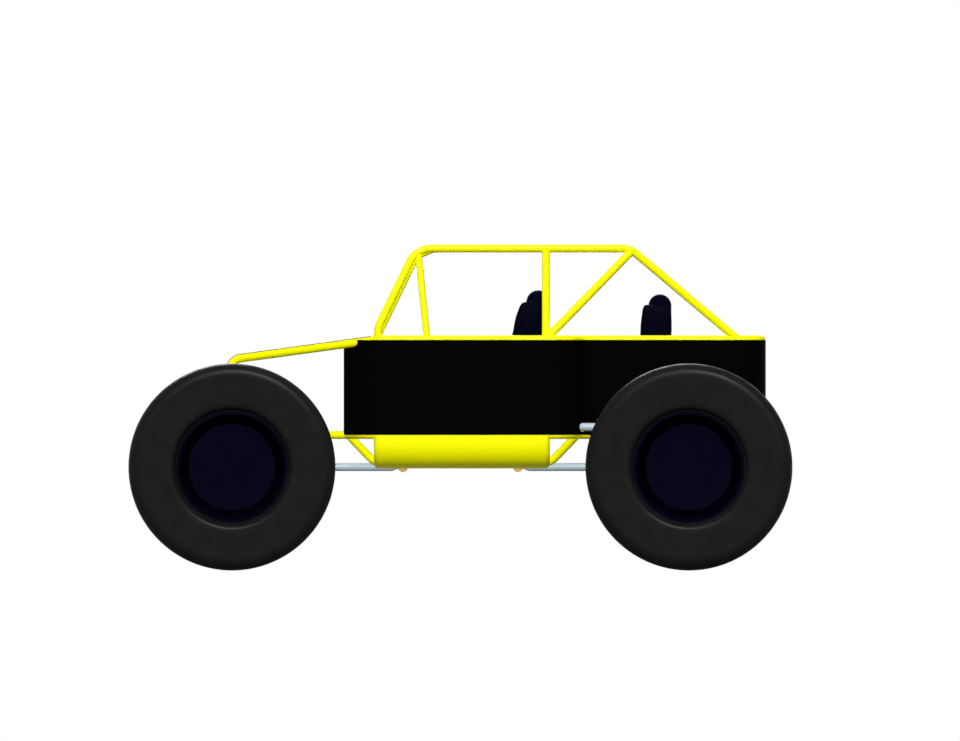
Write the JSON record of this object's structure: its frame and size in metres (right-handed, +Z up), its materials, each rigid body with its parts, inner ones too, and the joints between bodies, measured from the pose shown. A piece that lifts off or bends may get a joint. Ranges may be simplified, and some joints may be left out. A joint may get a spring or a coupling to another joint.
{
  "type": "dune buggy",
  "caption": "Four-seat tube-frame dune buggy: roll cage, sheet side panels, solid axles on links and coil-overs, steered front wheels, large smooth tyres.",
  "frame": {"origin": "on the ground, midway between the axles, on the centre plane", "axes": "+X forward, +Y to the left, +Z up"},
  "size_m": [3.6658, 2.42, 1.8003],
  "materials": {
    "frame": "gloss yellow paint on steel tube",
    "panel": "satin black sheet",
    "rocker": "gloss yellow sheet",
    "tyre": "matt black rubber",
    "rim": "dark navy enamel",
    "seat": "dark navy woven cloth",
    "link": "pale blue-grey enamel",
    "bracket": "golden yellow paint",
    "axle": "satin black",
    "engine": "cast",
    "damper": "navy spring, dark body",
    "radiator": "matt core",
    "grip": "fine grained"
  },
  "bodies": {
    "root": {"side_hoop_left": "frame", "side_hoop_right": "frame", "belt_rail": "frame", "lower_rail": "frame", "main_hoop": "frame", "harness_frame": "frame", "roof_bars": "frame", "windscreen_frame": "frame", "vent_braces": "frame", "rear_braces": "frame", "nose_frame": "frame", "body_posts": "frame", "belly_frame": "frame", "floor_bars": "frame", "side_panel_left": "panel", "side_panel_right": "panel", "tail_panel": "panel", "hood_panel": "panel", "rocker_left": "rocker", "rocker_right": "rocker", "floor_panel": "panel", "firewall": "panel", "bulkhead": "panel", "deck_panel": "panel", "skid_plate": "panel", "link_brackets": "bracket", "lower_links": "link", "upper_links": "link", "coil_overs_front": "damper", "coil_overs_rear": "damper", "coil_mounts": "frame", "front_axle": "axle", "rear_axle": "axle", "engine_block": "engine", "drop_case": "engine", "short_shaft": "link", "radiator": "radiator", "dash_panel": "panel", "steering_column": "axle", "tow_eyes": "frame", "seat_front_left": "seat", "seat_front_right": "seat", "seat_rear_left": "seat", "seat_rear_right": "seat"},
    "knuckle_left": {"knuckle_left": "axle"},
    "knuckle_right": {"knuckle_right": "axle"},
    "tie_rod": {"tie_rod": "link"},
    "steering_wheel": {"steering_wheel": "grip"},
    "wheel_front_left": {"rim_front_left": "rim", "tyre_front_left": "tyre"},
    "wheel_front_right": {"rim_front_right": "rim", "tyre_front_right": "tyre"},
    "wheel_rear_left": {"rim_rear_left": "rim", "tyre_rear_left": "tyre"},
    "wheel_rear_right": {"rim_rear_right": "rim", "tyre_rear_right": "tyre"}
  },
  "joints": [
    {"name": "steer_left", "type": "hinge", "parent": "root", "child": "knuckle_left", "pos_m": [1.2614, 0.8, 0.5715], "axis": [0, 0, 1], "range_deg": [-30, 30]},
    {"name": "steer_right", "type": "hinge", "parent": "root", "child": "knuckle_right", "pos_m": [1.2614, -0.8, 0.5715], "axis": [0, 0, 1], "range_deg": [-30, 30]},
    {"name": "tie_rod_pivot", "type": "hinge", "parent": "knuckle_left", "child": "tie_rod", "pos_m": [1.4314, 0.8, 0.656], "axis": [0, 0, 1], "range_deg": [-30, 30]},
    {"name": "steering_wheel_turn", "type": "hinge", "parent": "root", "child": "steering_wheel", "pos_m": [0.135, 0.33, 1.105], "axis": [-0.9063, 0, 0.4226], "range_deg": [-450, 450]},
    {"name": "wheel_front_left_spin", "type": "hinge", "parent": "knuckle_left", "child": "wheel_front_left", "pos_m": [1.2614, 1.01, 0.5715], "axis": [0, 1, 0], "continuous": true},
    {"name": "wheel_front_right_spin", "type": "hinge", "parent": "knuckle_right", "child": "wheel_front_right", "pos_m": [1.2614, -1.01, 0.5715], "axis": [0, 1, 0], "continuous": true},
    {"name": "wheel_rear_left_spin", "type": "hinge", "parent": "root", "child": "wheel_rear_left", "pos_m": [-1.2614, 1.01, 0.5715], "axis": [0, 1, 0], "continuous": true},
    {"name": "wheel_rear_right_spin", "type": "hinge", "parent": "root", "child": "wheel_rear_right", "pos_m": [-1.2614, -1.01, 0.5715], "axis": [0, 1, 0], "continuous": true}
  ],
  "couplings": [
    {"joint": "steer_right", "follows": "steer_left", "ratio": 1},
    {"joint": "tie_rod_pivot", "follows": "steer_left", "ratio": -1},
    {"joint": "steering_wheel_turn", "follows": "steer_left", "ratio": 15}
  ]
}
